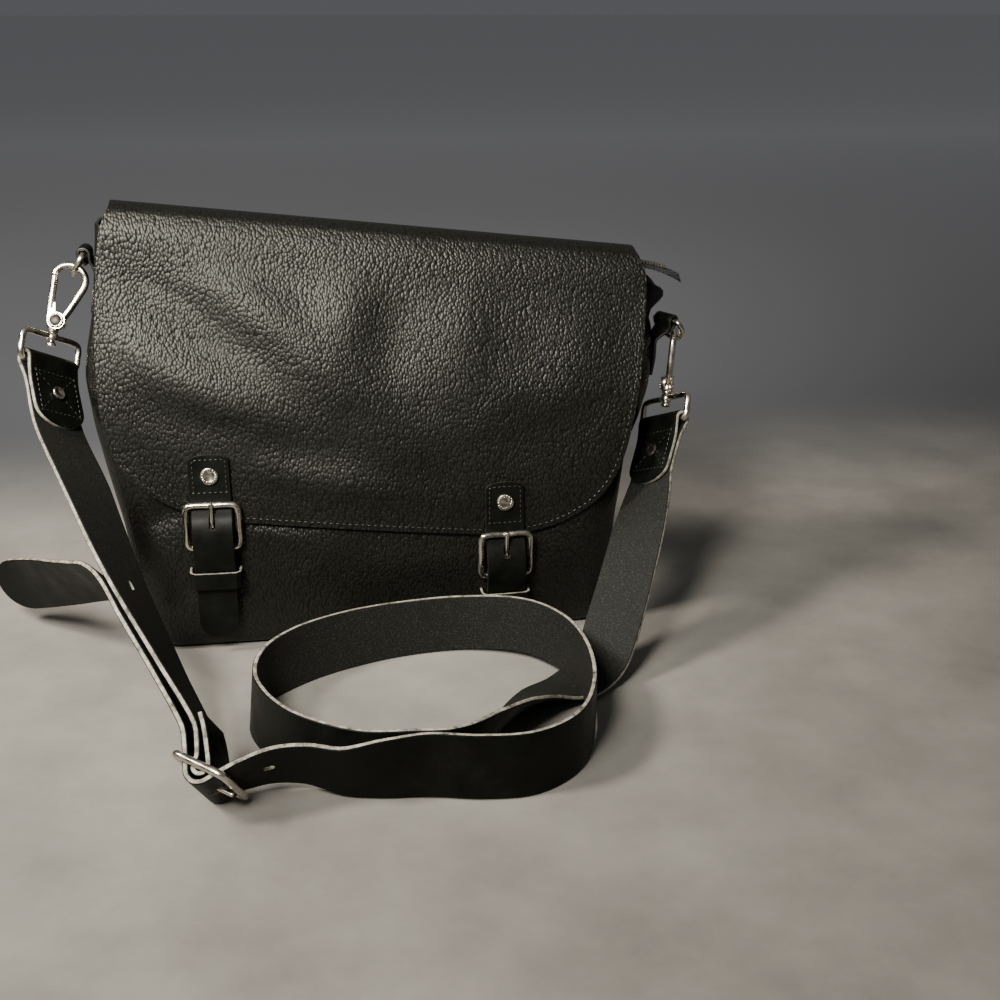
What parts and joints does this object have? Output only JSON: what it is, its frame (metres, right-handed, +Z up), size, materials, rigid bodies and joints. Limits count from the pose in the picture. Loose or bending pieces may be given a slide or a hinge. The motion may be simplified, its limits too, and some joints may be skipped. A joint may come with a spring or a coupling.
{
  "type": "messenger bag",
  "caption": "Leather messenger bag with a full flap closed by buckled straps and a shoulder strap laid in a ring on the floor in front of it.",
  "frame": {"origin": "centre of the base, on the floor", "axes": "X to the right seen from the front, front of the bag faces -Y, Z up"},
  "size_m": [0.4639, 0.313, 0.283],
  "materials": {
    "pebbled_leather": "pebble grain, soft sheen",
    "strap_leather": "smooth, raw beige edges",
    "zip_fabric": "woven tape",
    "nickel": "polished warm nickel plating"
  },
  "bodies": {
    "bag": {"front_panel": "pebbled_leather", "back_panel": "pebbled_leather", "gusset_left": "pebbled_leather", "gusset_right": "pebbled_leather", "base_panel": "pebbled_leather", "flap": "pebbled_leather", "zip_tape": "zip_fabric", "zip_chain": "nickel", "flap_strap_left": "strap_leather", "flap_strap_right": "strap_leather", "flap_rivet_left": "nickel", "flap_rivet_right": "nickel", "buckle_left": "nickel", "buckle_right": "nickel", "buckle_prong_left": "nickel", "buckle_prong_right": "nickel", "buckle_tab_left": "strap_leather", "buckle_tab_right": "strap_leather", "keeper_left": "strap_leather", "keeper_right": "strap_leather", "ring_tab_left": "strap_leather", "ring_tab_right": "strap_leather", "d_ring_left": "nickel", "d_ring_right": "nickel", "hook_left": "nickel", "hook_right": "nickel", "strap_loop_left": "nickel", "strap_loop_right": "nickel", "strap_rivet_left": "nickel", "strap_rivet_right": "nickel", "strap_short": "strap_leather", "strap_long": "strap_leather", "strap_buckle": "nickel", "strap_prong": "nickel"},
    "left_gate": {"hook_gate_left": "nickel"},
    "right_gate": {"hook_gate_right": "nickel"}
  },
  "joints": [
    {"name": "left_gate_hinge", "type": "hinge", "parent": "bag", "child": "left_gate", "pos_m": [-0.19599, -0.00951, 0.21209], "axis": [0, 0.9044, -0.4268], "range_deg": [0, 14], "stiffness_Nm_per_rad": 0.05, "springref_deg": -11.46},
    {"name": "right_gate_hinge", "type": "hinge", "parent": "bag", "child": "right_gate", "pos_m": [0.19956, -0.00368, 0.1531], "axis": [0.9506, -0.3027, -0.0688], "range_deg": [0, 14], "stiffness_Nm_per_rad": 0.05, "springref_deg": -11.46}
  ]
}
